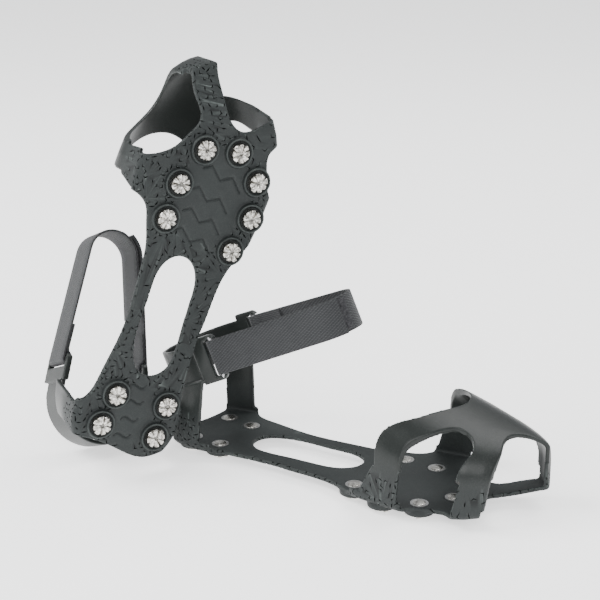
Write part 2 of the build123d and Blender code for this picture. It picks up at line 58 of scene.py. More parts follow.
leftMedialBar = Vector(joints["left_over_strap_hinge"]["pos_m"])
leftLateralBar = Vector(joints["left_under_strap_hinge"]["pos_m"])
rightMedialBar = Vector(joints["right_over_strap_hinge"]["pos_m"])
rightLateralBar = Vector(joints["right_under_strap_hinge"]["pos_m"])
leftBarAxis = Vector(joints["left_under_strap_hinge"]["axis"]).normalized()
rightBarAxis = Vector(joints["right_over_strap_hinge"]["axis"]).normalized()


def barBasis(medial, lateral, axis, hand):
    across = (medial - lateral).normalized()
    forward = axis.cross(across).normalized() * hand
    basis = Matrix((across, forward, axis)).transposed().to_4x4()
    return Matrix.Translation((medial + lateral) / 2) @ basis


# each ankle loop's own frame: +X to the medial bar, +Y to the instep, +Z along the bars
leftLoop = barBasis(leftMedialBar, leftLateralBar, leftBarAxis, 1)
rightLoop = barBasis(rightMedialBar, rightLateralBar, rightBarAxis, -1)
toRight = rightLoop @ leftLoop.inverted()  # carries the left cleat onto the right one, mirrored

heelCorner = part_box("left_heel_studs")[0]
footOrigin = Vector((heelCorner.x - heelStuds["low"][0] * mm, heelCorner.y - heelStuds["low"][1] * mm, 0))
loopShape = {
    "barHalfSpan": (leftMedialBar - leftLateralBar).length / 2,
    "barAlong": 20.5 * mm,      # bar's place along the straight side of the loop
    "barOffset": 2.2 * mm,      # and out from the loop line
    "heelRadius": 30 * mm,
    "instepRadius": 17 * mm,
    "centres": 103 * mm,        # from the heel arc's centre to the instep arc's
}
sideAngle = asin((loopShape["heelRadius"] - loopShape["instepRadius"]) / loopShape["centres"])
sideLength = loopShape["centres"] * cos(sideAngle)
barForward = ((loopShape["heelRadius"] + loopShape["barOffset"]) * sin(sideAngle)
              + loopShape["barAlong"] * cos(sideAngle))
instepForward = loopShape["centres"] - barForward  # instep arc's centre in the loop's own frame


# helpers

def keepMesh(bm, name):
    mesh = bpy.data.meshes.new(name)
    bm.to_mesh(mesh)
    bm.free()
    obj = bpy.data.objects.new(name, mesh)
    bpy.context.scene.collection.objects.link(obj)
    return obj


def applyModifiers(obj):
    depsgraph = bpy.context.evaluated_depsgraph_get()
    mesh = bpy.data.meshes.new_from_object(obj.evaluated_get(depsgraph))
    obj.modifiers.clear()
    obj.data = mesh
    return obj


def shadeByAngle(obj, angle):
    for polygon in obj.data.polygons:
        polygon.use_smooth = True
    obj.data.set_sharp_from_angle(angle=radians(angle))


def mirroredCopy(obj, name):
    mesh = obj.data.copy()
    mesh.name = name
    mesh.transform(toRight)
    mesh.flip_normals()
    twin = bpy.data.objects.new(name, mesh)
    bpy.context.scene.collection.objects.link(twin)
    return twin


def addNode(tree, kind, sockets=None, settings=None):
    node = tree.nodes.new("ShaderNode" + kind)
    for key, value in (settings or {}).items():
        setattr(node, key, value)
    for key, value in (sockets or {}).items():
        if isinstance(value, bpy.types.NodeSocket):
            tree.links.new(value, node.inputs[key])
        else:
            node.inputs[key].default_value = value
    return node


def newGroup(name, inputs, outputs):
    tree = bpy.data.node_groups.new(name, "ShaderNodeTree")
    for label, kind, value in inputs:
        socket = tree.interface.new_socket(name=label, in_out="INPUT", socket_type="NodeSocket" + kind)
        if value is not None:
            socket.default_value = value
    for label, kind in outputs:
        tree.interface.new_socket(name=label, in_out="OUTPUT", socket_type="NodeSocket" + kind)
    return tree, tree.nodes.new("NodeGroupInput").outputs, tree.nodes.new("NodeGroupOutput")


def useGroup(tree, group, sockets):
    return addNode(tree, "Group", sockets, {"node_tree": group}).outputs


def mixColour(tree, factor, first, second, blend="MIX"):
    settings = {"data_type": "RGBA", "blend_type": blend}
    return addNode(tree, "Mix", {0: factor, 6: first, 7: second}, settings).outputs[2]


def maths(tree, operation, first, second=0.0):
    return addNode(tree, "Math", {0: first, 1: second}, {"operation": operation}).outputs[0]


def remap(tree, value, fromLow, fromHigh, toLow, toHigh):
    sockets = {0: value, 1: fromLow, 2: fromHigh, 3: toLow, 4: toHigh}
    return addNode(tree, "MapRange", sockets, {"clamp": True}).outputs[0]


def startMaterial(name, shader):
    material = bpy.data.materials.new(name)
    material.use_nodes = True
    tree = material.node_tree
    principled = tree.nodes["Principled BSDF"]
    for key, value in shader.items():
        principled.inputs[key].default_value = value
    return material, tree, principled.inputs


# node groups

def grainGroup():
    tree, given, result = newGroup("mouldGrain", [
        ("Place", "Vector", None), ("Fine Scale", "Float", 2600.0), ("Broad Scale", "Float", 45.0)],
        [("Height", "Float"), ("Mottle", "Float")])
    place = given["Place"]
    fine = addNode(tree, "TexNoise", {"Vector": place, "Scale": given["Fine Scale"], "Detail": 3.0})
    broadSockets = {"Vector": place, "Scale": given["Broad Scale"], "Detail": 5.0, "Roughness": 0.6}
    broad = addNode(tree, "TexNoise", broadSockets)
    tree.links.new(fine.outputs[0], result.inputs["Height"])
    tree.links.new(broad.outputs[0], result.inputs["Mottle"])
    return tree


def wearGroup():
    tree, given, result = newGroup("edgeWear", [
        ("Place", "Vector", None), ("Start", "Float", 0.51), ("End", "Float", 0.6)], [("Mask", "Float")])
    ridge = addNode(tree, "NewGeometry").outputs["Pointiness"]
    patchy = addNode(tree, "TexNoise", {"Vector": given["Place"], "Scale": 160.0, "Detail": 4.0}).outputs[0]
    edge = remap(tree, ridge, given["Start"], given["End"], 0.0, 1.0)
    mask = maths(tree, "MULTIPLY", edge, remap(tree, patchy, 0.35, 0.65, 0.25, 1.0))
    tree.links.new(mask, result.inputs["Mask"])
    return tree


def dustGroup():
    tree, given, result = newGroup("dustVeil", [
        ("Place", "Vector", None), ("Scale", "Float", 30.0), ("Amount", "Float", 0.1)], [("Mask", "Float")])
    cloud = addNode(tree, "TexNoise", {"Vector": given["Place"], "Scale": given["Scale"], "Detail": 8.0,
                                       "Roughness": 0.7}).outputs[0]
    speck = addNode(tree, "TexNoise", {"Vector": given["Place"], "Scale": 1400.0, "Detail": 2.0}).outputs[0]
    patchy = remap(tree, cloud, 0.4, 0.75, 0.2, 1.0)
    both = maths(tree, "MULTIPLY", patchy, remap(tree, speck, 0.4, 0.7, 0.2, 1.0))
    tree.links.new(maths(tree, "MULTIPLY", both, given["Amount"]), result.inputs["Mask"])
    return tree


def weaveGroup():
    tree, given, result = newGroup("webbingWeave", [
        ("Strip", "Vector", None), ("Thread", "Float", 0.9 * mm)],
        [("Height", "Float"), ("Shade", "Float")])
    parts = addNode(tree, "SeparateXYZ", {0: given["Strip"]}).outputs
    across = maths(tree, "DIVIDE", parts[0], given["Thread"])
    along = maths(tree, "DIVIDE", parts[1], given["Thread"])
    slant = maths(tree, "ADD", maths(tree, "MULTIPLY", along, 0.5), across)
    rib = maths(tree, "ABSOLUTE", maths(tree, "SINE", maths(tree, "MULTIPLY", across, pi)))
    twill = maths(tree, "SINE", maths(tree, "MULTIPLY", slant, pi))
    over = maths(tree, "MULTIPLY", rib, remap(tree, twill, -0.4, 0.7, 0.35, 1.0))
    fuzz = addNode(tree, "TexNoise", {"Vector": given["Strip"], "Scale": 3500.0, "Detail": 2.0}).outputs[0]
    height = maths(tree, "ADD", over, maths(tree, "MULTIPLY", fuzz, 0.35))
    tree.links.new(height, result.inputs["Height"])
    tree.links.new(over, result.inputs["Shade"])
    return tree


grain = grainGroup()
wear = wearGroup()
dust = dustGroup()
weave = weaveGroup()


# materials

rubberLook = {
    "base": (0.012, 0.0148, 0.0148, 1),
    "pale": (0.020, 0.024, 0.0236, 1),
    "polished": (0.011, 0.0135, 0.0125, 1),
    "worn": (0.09, 0.105, 0.10, 1),
    "dusty": (0.20, 0.21, 0.20, 1),
    # painted shade colour, used in creases, round the stud seats and on the slit walls
    "hollowShading": (0.004, 0.005, 0.005, 1),
    "dustAmount": 0.10,
    "soleRoughness": (0.50, 0.66),
    "webRoughness": (0.29, 0.37),
}


def rubberMaterial(name, look, shade):
    material, tree, shader = startMaterial(name, {"IOR": 1.5, "Specular IOR Level": 0.27})
    place = addNode(tree, "Attribute", settings={"attribute_name": "footPlace"}).outputs["Vector"]
    polish = addNode(tree, "Attribute", settings={"attribute_name": "polish"}).outputs["Fac"]
    surface = useGroup(tree, grain, {"Place": place, "Fine Scale": 2400.0, "Broad Scale": 38.0})
    mottle = remap(tree, surface["Mottle"], 0.3, 0.7, 0.0, 1.0)
    sole = mixColour(tree, mottle, look["base"], look["pale"])
    body = mixColour(tree, polish, sole, look["polished"])
    edge = useGroup(tree, wear, {"Place": place, "Start": 0.52, "End": 0.62})["Mask"]
    worn = mixColour(tree, edge, body, look["worn"])
    veil = useGroup(tree, dust, {"Place": place, "Scale": 34.0, "Amount": look["dustAmount"]})["Mask"]
    dusty = mixColour(tree, veil, worn, look["dusty"])
    # painted shade: concave creases found by pointiness and the hollow round each stud are darkened towards
    # the shade colour
    ridge = addNode(tree, "NewGeometry").outputs["Pointiness"]
    creaseShade = remap(tree, ridge, 0.44, 0.492, 0.85, 0.0)
    seatShading = addNode(tree, "Attribute", settings={"attribute_name": "studSeatShade"}).outputs["Fac"]
    shaded = mixColour(tree, maths(tree, "MAXIMUM", creaseShade, seatShading), dusty, look["hollowShading"])
    # painted shade: the shade input darkens the whole material towards the shade colour
    tree.links.new(mixColour(tree, shade, shaded, look["hollowShading"]), shader["Base Color"])
    matt = remap(tree, surface["Mottle"], 0.3, 0.7, *look["soleRoughness"])
    sleek = remap(tree, surface["Mottle"], 0.3, 0.7, *look["webRoughness"])
    rough = addNode(tree, "Mix", {0: polish, 2: matt, 3: sleek}, {"data_type": "FLOAT"}).outputs[0]
    tree.links.new(rough, shader["Roughness"])
    bump = addNode(tree, "Bump", {"Strength": 0.35, "Distance": 0.12 * mm, "Height": surface["Height"]})
    tree.links.new(bump.outputs[0], shader["Normal"])
    return material


webbingLook = {
    "dark": (0.010, 0.011, 0.012, 1),
    "light": (0.034, 0.036, 0.039, 1),
    "thread": 0.95 * mm,
}


def webbingMaterial(name, look):
    material, tree, shader = startMaterial(name, {"Specular IOR Level": 0.35, "Sheen Weight": 0.12})
    strip = addNode(tree, "UVMap").outputs[0]
    cloth = useGroup(tree, weave, {"Strip": strip, "Thread": look["thread"]})
    tone = mixColour(tree, remap(tree, cloth["Shade"], 0.1, 0.9, 0.0, 1.0), look["dark"], look["light"])
    veil = useGroup(tree, dust, {"Place": strip, "Scale": 60.0, "Amount": 0.08})["Mask"]
    tree.links.new(mixColour(tree, veil, tone, (0.25, 0.25, 0.25, 1)), shader["Base Color"])
    tree.links.new(remap(tree, cloth["Shade"], 0.0, 1.0, 0.8, 0.55), shader["Roughness"])
    bump = addNode(tree, "Bump", {"Strength": 0.8, "Distance": 0.25 * mm, "Height": cloth["Height"]})
    tree.links.new(bump.outputs[0], shader["Normal"])
    return material


def tapeMaterial(name, dark, light, scale, depth):
    material, tree, shader = startMaterial(name, {"Specular IOR Level": 0.3, "Sheen Weight": 0.2})
    strip = addNode(tree, "UVMap").outputs[0]
    tuft = addNode(tree, "TexVoronoi", {"Vector": strip, "Scale": scale}).outputs["Distance"]
    fuzz = addNode(tree, "TexNoise", {"Vector": strip, "Scale": 3.0 * scale, "Detail": 4.0}).outputs[0]
    height = maths(tree, "SUBTRACT", fuzz, tuft)
    tone = mixColour(tree, remap(tree, height, -0.4, 0.6, 0.0, 1.0), dark, light)
    tree.links.new(tone, shader["Base Color"])
    tree.links.new(remap(tree, fuzz, 0.3, 0.7, 0.7, 0.95), shader["Roughness"])
    bump = addNode(tree, "Bump", {"Strength": 1.0, "Distance": depth, "Height": height})
    tree.links.new(bump.outputs[0], shader["Normal"])
    return material


def steelMaterial(name, bright, dull, roughness, scale, hollows):
    material, tree, shader = startMaterial(name, {"Metallic": 1.0})
    place = addNode(tree, "TexCoord").outputs["Object"]
    surface = useGroup(tree, grain, {"Place": place, "Fine Scale": scale, "Broad Scale": 420.0})
    tone = mixColour(tree, remap(tree, surface["Mottle"], 0.35, 0.65, 0.0, 1.0), bright, dull)
    # painted shade darkens the hollows between the teeth
    if hollows:
        hollowShading = addNode(tree, "Attribute", settings={"attribute_name": "hollowShading"}).outputs["Fac"]
        tone = mixColour(tree, hollowShading, tone, (0.035, 0.034, 0.032, 1))
    tree.links.new(tone, shader["Base Color"])
    tree.links.new(remap(tree, surface["Mottle"], 0.3, 0.7, *roughness), shader["Roughness"])
    bump = addNode(tree, "Bump", {"Strength": 0.5, "Distance": 0.15 * mm, "Height": surface["Height"]})
    tree.links.new(bump.outputs[0], shader["Normal"])
    return material


mouldedRubber = rubberMaterial("mouldedRubber", rubberLook, 0.0)
# the slits' cut walls: the same rubber darkened most of the way to the shade colour, a painted shade
slitShadeRubber = rubberMaterial("slitShadeRubber", rubberLook, 0.8)
wovenWebbing = webbingMaterial("wovenWebbing", webbingLook)
hookTape = tapeMaterial("hookTape", (0.006, 0.006, 0.007, 1), (0.03, 0.03, 0.033, 1), 900.0, 0.3 * mm)
loopTape = tapeMaterial("loopTape", (0.010, 0.010, 0.012, 1), (0.05, 0.05, 0.055, 1), 700.0, 0.4 * mm)
castSteel = steelMaterial("castSteel", (0.80, 0.78, 0.73, 1), (0.24, 0.23, 0.21, 1),
                          (0.18, 0.34), 1800.0, True)
wireSteel = steelMaterial("wireSteel", (0.55, 0.55, 0.56, 1), (0.36, 0.36, 0.37, 1),
                          (0.22, 0.36), 900.0, False)
stampedSteel = steelMaterial("stampedSteel", (0.50, 0.50, 0.50, 1), (0.30, 0.30, 0.29, 1),
                             (0.3, 0.5), 1300.0, False)
print("materials made")


# rubber harness

harness = {
    "nodes": ["forefoot_plate", "heel_plate", "medial_rail", "lateral_rail", "rear_medial_arm",
              "front_medial_arm", "rear_lateral_arm", "toe_arm", "toe_web", "heel_medial_arm",
              "heel_lateral_arm", "ankle_band", "medial_ear", "lateral_ear"],
    "voxel": 0.62 * mm,
    "smoothing": 6,
    "kept": 0.45,               # share of the faces left once the flat stretches are thinned
    "webHeight": (24, 40),      # the smooth finish of the web takes over between these heights, mm
    "forefootBack": 120,
    "seatRadius": 8.6,          # painted shade in the hollow round each stud, mm
    "seatEdge": 0.8,            # width over which it fades
    "seatTop": 8,               # no painted shade above this height
    "seatShade": 0.75,
}
slits = {
    "seed": 11,
    "spacing": 3.3,             # mm between slit centres
    "depth": 1.5,
    "width": 1.05,
    "lengths": (1.0, 2.1),      # half lengths, mm
    "bend": 0.5,               # share of slits with a second limb
    "directions": (-35, 15, 70, 105),
    "spread": 16,               # degrees either way
    "top": 30,                  # no slits above this height
    "sideFrom": 6.5,            # lowest place on the outer sides
    "forefootMiddle": (8, 200),
    "heelMiddle": (-4, 38),
    "bentRise": (0.6, 0.9),     # height of a bend, as a share of half the length
    "straightRise": 0.06,       # and of a nearly straight slit
    "bladeTop": 0.6,            # how far a blade starts above the rubber, mm
    "studClear": 11.0,
    "forefootSmooth": (13.5, 196, 28, 35),
    "heelSmooth": (-2, 40, 16, 25),
    "largeFrom": (22, 214),     # past this place towards the medial toe the slits are larger
    "largeScale": 1.7,
}
studPlaces = {
    "forefoot": [(-1, 226), (24, 229), (-13, 201), (42.5, 212.5), (-16, 176.5), (45, 187.5), (36.5, 163)],
    "heel": [(-18.5, 53.5), (-24, 31.5), (20, 50), (17.5, 27)],
}


def footPlace(point):
    return (point - footOrigin) / mm


def inEllipse(x, y, ellipse):
    centreX, centreY, halfX, halfY = ellipse
    return hypot((x - centreX) / halfX, (y - centreY) / halfY) < 1


def takesSlit(place, normal):
    x, y, z = place
    if z > slits["top"]:
        return False
    centre = slits["forefootMiddle"] if y > harness["forefootBack"] else slits["heelMiddle"]
    outward = (x - centre[0]) * normal.x + (y - centre[1]) * normal.y
    onSide = z > slits["sideFrom"] and abs(normal.z) < 0.75 and outward > 0
    if normal.z > -0.75 and not onSide:
        return False
    studs = sum(studPlaces.values(), [])
    if any(hypot(x - studX, y - studY) < slits["studClear"] for studX, studY in studs):
        return False
    return not inEllipse(x, y, slits["forefootSmooth"]) and not inEllipse(x, y, slits["heelSmooth"])


# thin tapered blades, one for each slit, spread over the marked part of the rubber
def slitCutters(obj):
    draw = random.Random(slits["seed"])
    faces = [(polygon.center.copy(), polygon.normal.copy()) for polygon in obj.data.polygons]
    draw.shuffle(faces)
    cells = {}
    bm = bmesh.new()
    count = 0
    for centre, normal in faces:
        place = footPlace(centre)
        if not takesSlit(place, normal):
            continue
        large = place.x > slits["largeFrom"][0] and place.y > slits["largeFrom"][1]
        scale = slits["largeScale"] if large else 1.0
        spacing = slits["spacing"] * scale
        cell = tuple(int(value // 8) for value in place)
        near = [other for dx in (-1, 0, 1) for dy in (-1, 0, 1) for dz in (-1, 0, 1)
                for other in cells.get((cell[0] + dx, cell[1] + dy, cell[2] + dz), [])]
        if any((place - other).length < spacing for other in near):
            continue
        cells.setdefault(cell, []).append(place)
        addBlade(bm, draw, centre, normal, scale)
        count += 1
    print("slits", count)
    return keepMesh(bm, "slitCutters")


def addBlade(bm, draw, centre, normal, scale):
    half = draw.uniform(*slits["lengths"]) * scale * mm
    wide = slits["width"] * draw.uniform(0.8, 1.15) * mm / 2
    bent = draw.random() < slits["bend"]
    rise = half * (draw.uniform(*slits["bentRise"]) if bent else slits["straightRise"])
    top = slits["bladeTop"] * mm
    outline = [(-half, 0.4 * wide), (-half, -0.4 * wide), (0, rise - wide), (half, -0.4 * wide),
               (half, 0.4 * wide), (0, rise + wide)]
    verts = [bm.verts.new((x, y - rise / 3, top)) for x, y in outline]
    face = bm.faces.new(reversed(verts))
    deep = bmesh.ops.extrude_face_region(bm, geom=[face])["geom"]
    floor = [item for item in deep if isinstance(item, bmesh.types.BMVert)]
    bmesh.ops.translate(bm, verts=floor, vec=(0, 0, -top - slits["depth"] * mm))
    bmesh.ops.scale(bm, verts=floor, vec=(0.9, 0.8, 1))
    heading = radians(draw.choice(slits["directions"]) + draw.uniform(-slits["spread"], slits["spread"]))
    side = Vector((cos(heading), sin(heading), 0))
    if abs(normal.z) < 0.6:
        side = Vector((0, cos(heading), sin(heading)))
    side = (side - normal * side.dot(normal)).normalized()
    turn = Matrix((side, normal.cross(side), normal)).transposed().to_4x4()
    bmesh.ops.transform(bm, matrix=Matrix.Translation(centre) @ turn, verts=verts + floor)
    shell = list({face for vert in verts + floor for face in vert.link_faces})
    bmesh.ops.recalc_face_normals(bm, faces=shell)


def makeHarness():
    bm = bmesh.new()
    for node in harness["nodes"]:
        bm.from_mesh(frame["nodes"]["left_" + node].data)
    bmesh.ops.remove_doubles(bm, verts=bm.verts, dist=0.001 * mm)
    for face in bm.faces:
        face.material_index = 0
    obj = keepMesh(bm, "leftHarness")
    remesh = obj.modifiers.new("remesh", "REMESH")
    remesh.mode = "VOXEL"
    remesh.voxel_size = harness["voxel"]
    relax = obj.modifiers.new("relax", "SMOOTH")
    relax.factor = 0.5
    relax.iterations = harness["smoothing"]
    thin = obj.modifiers.new("thin", "DECIMATE")
    thin.ratio = harness["kept"]
    applyModifiers(obj)
    print("harness faces", len(obj.data.polygons))
    obj.data.materials.clear()
    obj.data.materials.append(mouldedRubber)
    obj.data.materials.append(slitShadeRubber)
    cutters = slitCutters(obj)
    cutters.data.materials.append(mouldedRubber)
    cutters.data.materials.append(slitShadeRubber)
    # the cutters' faces become the slit walls and take the darkened material, painted shade in the slits
    for polygon in cutters.data.polygons:
        polygon.material_index = 1
    cut = obj.modifiers.new("cut", "BOOLEAN")
    cut.operation = "DIFFERENCE"
    cut.solver = "MANIFOLD"
    cut.material_mode = "INDEX"
    cut.object = cutters
    applyModifiers(obj)
    bpy.data.objects.remove(cutters)
    markHarness(obj)
    shadeByAngle(obj, 40)
    print("harness faces with slits", len(obj.data.polygons))
    return obj


# face areas steer the shading, so thin faces between slits stay as smooth as their surroundings
def weighNormals(obj):
    weigh = obj.modifiers.new("weigh", "WEIGHTED_NORMAL")
    weigh.weight = 100
    weigh.keep_sharp = True


def markHarness(obj):
    mesh = obj.data
    mesh.attributes.new("footPlace", "FLOAT_VECTOR", "POINT")
    mesh.attributes.new("polish", "FLOAT", "POINT")
    mesh.attributes.new("studSeatShade", "FLOAT", "POINT")
    studs = sum(studPlaces.values(), [])
    places = [footPlace(vertex.co) for vertex in mesh.vertices]
    low, high = harness["webHeight"]
    for index, place in enumerate(places):
        mesh.attributes["footPlace"].data[index].vector = place * mm
        mesh.attributes["polish"].data[index].value = min(1, max(0, (place.z - low) / (high - low)))
        # painted shade: vertices close to a stud's centre and low down are marked for darkening
        reach = min(hypot(place.x - x, place.y - y) for x, y in studs)
        deep = min(1, max(0, (harness["seatRadius"] - reach) / harness["seatEdge"]))
        deep = deep if place.z < harness["seatTop"] else 0
        mesh.attributes["studSeatShade"].data[index].value = harness["seatShade"] * deep


leftHarness = makeHarness()
rightHarness = mirroredCopy(leftHarness, "rightHarness")
for obj, side in ((leftHarness, "left"), (rightHarness, "right")):
    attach(obj, side + "_cleat")
    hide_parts(*[side + "_" + node for node in harness["nodes"]])
    weighNormals(obj)
print("harnesses made")


# cast studs

studShape = {
    "seed": 5,
    "teeth": 8,
    "segments": 80,
    "crown": 6.9,               # reach of the longest teeth, mm
    "toothDepth": 0.75,
    "base": 4.4,                # height of the recess floor that the crown sits on
    "dimple": 1.3,
    "shank": 2.95,
    "rivet": 4.3,
    "plateTop": 9.0,
    "rivetRise": 0.7,
    "rivetEdge": 0.3,
    "cover": 0.04,              # the rivet head starts this far under the plate's face
    "dimpleFloor": 1.9,
    "skirt": 2.9,               # height where the crown's wall turns straight
    "roughTop": 3.2,            # the cast skin is uneven below this height
    "uneven": 0.3,
    "hollowFrom": 0.9,          # painted shade: deeper places between the teeth are darker
    "hollowRange": 1.3,
    "hollowReach": 0.8,
    "hollowShade": 0.85,
}


def ringOf(bm, edges, place):
    grown = bmesh.ops.extrude_edge_only(bm, edges=edges)["geom"]
    verts = [item for item in grown if isinstance(item, bmesh.types.BMVert)]
    for vert in verts:
        angle = atan2(vert.co.y, vert.co.x)
        radius, height = place(angle)
        vert.co = Vector((radius * cos(angle), radius * sin(angle), height)) * mm
    return [item for item in grown if isinstance(item, bmesh.types.BMEdge)]


# one cast crown with its shank and rivet head, standing at the origin
def castStud(seed):
    draw = random.Random(studShape["seed"] + seed)
    noise.seed_set(studShape["seed"])
    teeth = studShape["teeth"]
    reaches = [studShape["crown"] * draw.uniform(0.93, 1.0) for tooth in range(teeth)]
    leans = [draw.uniform(-0.3, 0.3) for tooth in range(teeth)]
    crests = [draw.uniform(0.0, 0.9) for tooth in range(teeth)]
    sinks = [draw.uniform(0.8, 1.5) for tooth in range(teeth)]

    def tooth(angle):
        turn = (angle / (2 * pi) * teeth) % teeth
        number = int(turn) % teeth
        part = turn - int(turn) - 0.5
        return number, min(1.0, (0.5 - abs(part)) / 0.2), part * leans[number]

    def rim(angle, share):
        number, ridge, lean = tooth(angle)
        return share * (reaches[number] - studShape["toothDepth"] * (1 - ridge) + lean)

    def crest(angle, low, high):
        number, ridge, lean = tooth(angle)
        return low + crests[number] + 1.6 * lean + (high * sinks[number] - crests[number]) * (1 - ridge)

    bm = bmesh.new()
    bmesh.ops.create_circle(bm, cap_ends=False, segments=studShape["segments"],
                            radius=studShape["dimple"] * mm * 0.6)
    for vert in bm.verts:
        vert.co.z = studShape["dimpleFloor"] * mm
    edges = list(bm.edges)
    bmesh.ops.contextual_create(bm, geom=edges)
    edges = ringOf(bm, edges, lambda angle: (studShape["dimple"] * 0.85, 1.7))
    edges = ringOf(bm, edges, lambda angle: (studShape["dimple"] * 1.15, crest(angle, 0.4, 0.5)))
    edges = ringOf(bm, edges, lambda angle: (3.0, crest(angle, 0.15, 0.8)))
    edges = ringOf(bm, edges, lambda angle: (rim(angle, 0.68), crest(angle, 0.05, 1.1)))
    edges = ringOf(bm, edges, lambda angle: (rim(angle, 0.88), crest(angle, 0.1, 1.3)))
    edges = ringOf(bm, edges, lambda angle: (rim(angle, 0.98), crest(angle, 0.7, 1.5)))
    edges = ringOf(bm, edges, lambda angle: (rim(angle, 1.0), studShape["skirt"]))
    edges = ringOf(bm, edges, lambda angle: (rim(angle, 1.01), studShape["base"]))
    edges = ringOf(bm, edges, lambda angle: (studShape["shank"], studShape["base"]))
    rivet, plateTop = studShape["rivet"], studShape["plateTop"]
    edges = ringOf(bm, edges, lambda angle: (studShape["shank"], plateTop - studShape["cover"]))
    edges = ringOf(bm, edges, lambda angle: (rivet, plateTop - studShape["cover"]))
    edges = ringOf(bm, edges, lambda angle: (rivet * 0.97, plateTop + studShape["rivetEdge"]))
    edges = ringOf(bm, edges, lambda angle: (rivet * 0.62, plateTop + studShape["rivetRise"]))
    bmesh.ops.contextual_create(bm, geom=edges)
    roughTop = studShape["roughTop"] * mm
    crown = [edge for edge in bm.edges if max(vert.co.z for vert in edge.verts) < roughTop]
    bmesh.ops.subdivide_edges(bm, edges=crown, cuts=1, use_grid_fill=True)
    for vert in bm.verts:
        if vert.co.z < roughTop:
            rough = noise.noise_vector(vert.co / mm * 0.9 + Vector((seed * 7.3, 0, 0)))
            vert.co += rough * studShape["uneven"] * mm
            vert.co.z = max(vert.co.z, 0.0)
    bmesh.ops.recalc_face_normals(bm, faces=bm.faces)
    mesh = bpy.data.meshes.new("castStud")
    bm.to_mesh(mesh)
    bm.free()
    return mesh


def makeStuds(name, places, firstSeed):
    draw = random.Random(firstSeed)
    bm = bmesh.new()
    for number, (x, y) in enumerate(places):
        stud = castStud(firstSeed + number % 4)
        spin = Matrix.Rotation(draw.uniform(0, 2 * pi), 4, "Z")
        stud.transform(Matrix.Translation(footOrigin + Vector((x, y, 0)) * mm) @ spin)
        bm.from_mesh(stud)
        bpy.data.meshes.remove(stud)
    obj = keepMesh(bm, name)
    # painted shade amount: inside each crown, darker the further up from the tips
    hollowShading = obj.data.attributes.new("hollowShading", "FLOAT", "POINT")
    for index, vertex in enumerate(obj.data.vertices):
        place = footPlace(vertex.co)
        reach = min(hypot(place.x - x, place.y - y) for x, y in places)
        deep = max(0.0, min(1.0, (place.z - studShape["hollowFrom"]) / studShape["hollowRange"]))
        inside = reach < studShape["crown"] * studShape["hollowReach"] and place.z < studShape["base"]
        hollowShading.data[index].value = studShape["hollowShade"] * deep if inside else 0.0
    obj.data.materials.append(castSteel)
    shadeByAngle(obj, 28)
    return obj


leftForefootStuds = makeStuds("leftForefootStuds", studPlaces["forefoot"], 1)
leftHeelStuds = makeStuds("leftHeelStuds", studPlaces["heel"], 9)
for obj, node in ((leftForefootStuds, "forefoot_studs"), (leftHeelStuds, "heel_studs")):
    twin = mirroredCopy(obj, obj.name.replace("left", "right"))
    for piece, side in ((obj, "left"), (twin, "right")):
        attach(piece, side + "_cleat")
        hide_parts(side + "_" + node)
print("studs made")


# steel bars and washers keep their own shapes

for side in ("left", "right"):
    for node, material in (("strap_bars", wireSteel), ("stud_washers", stampedSteel)):
        obj = frame["nodes"][side + "_" + node]
        obj.data.materials.clear()
        obj.data.materials.append(material)
print("steel fittings finished")


# ankle straps

strap = {
    "width": 25.0 * mm,
    "thickness": 1.6 * mm,
    "eyeRadius": 2.9 * mm,      # middle of the webbing round the bar
    "tail": 17.0 * mm,          # sewn-back end past the bar
    "step": 3.0 * mm,
    "overOffset": 5.1 * mm,     # middle of each layer, out from the loop line
    "underOffset": 1.4 * mm,
    "overEnd": 52,              # degrees round the instep arc from the medial side
    "underFree": 44.0 * mm,
}
patches = {
    "width": 21.0 * mm,
    "hook": {"offset": 3.875 * mm, "thickness": 0.72 * mm, "free": 34.0 * mm, "end": 46},
    "loop": {"offset": 2.725 * mm, "thickness": 0.92 * mm, "free": 40.0 * mm, "end": 72},
}


# closed outline of a strip's section, with its narrow edges rounded
def stripProfile(bm, width, thickness):
    half = width / 2
    thin = thickness / 2
    levels = [-0.95, -0.5, 0, 0.5, 0.95]
    outline = [(thin, half * level) for level in levels]
    outline += [(thin * 0.6, half * 0.99), (0, half), (-thin * 0.6, half * 0.99)]
    outline += [(-thin, -half * level) for level in levels]
    outline += [(-thin * 0.6, -half * 0.99), (0, -half), (thin * 0.6, -half * 0.99)]
    verts = [bm.verts.new((out, 0, level)) for out, level in outline]
    return [bm.edges.new((first, second)) for first, second in zip(verts, verts[1:] + verts[:1])]


# each short move along straights and arcs: place and heading after it, and the length so far
def walkRuns(start, heading, runs, step):
    place = Vector(start)
    length = 0.0
    for run, turn in runs:
        count = max(1, round(run / step), round(abs(turn) / 9))
        for number in range(count):
            half = radians(turn) / count / 2
            chord = run / count * (sin(half) / half if abs(half) > 1e-6 else 1)
            heading += half
            place = place + Vector((cos(heading), sin(heading), 0)) * chord
            heading += half
            length += run / count
            yield place.copy(), heading, length


def stripFrame(place, heading):
    turn = Matrix.Rotation(heading - pi / 2, 4, "Z")
    return Matrix.Translation(place) @ turn


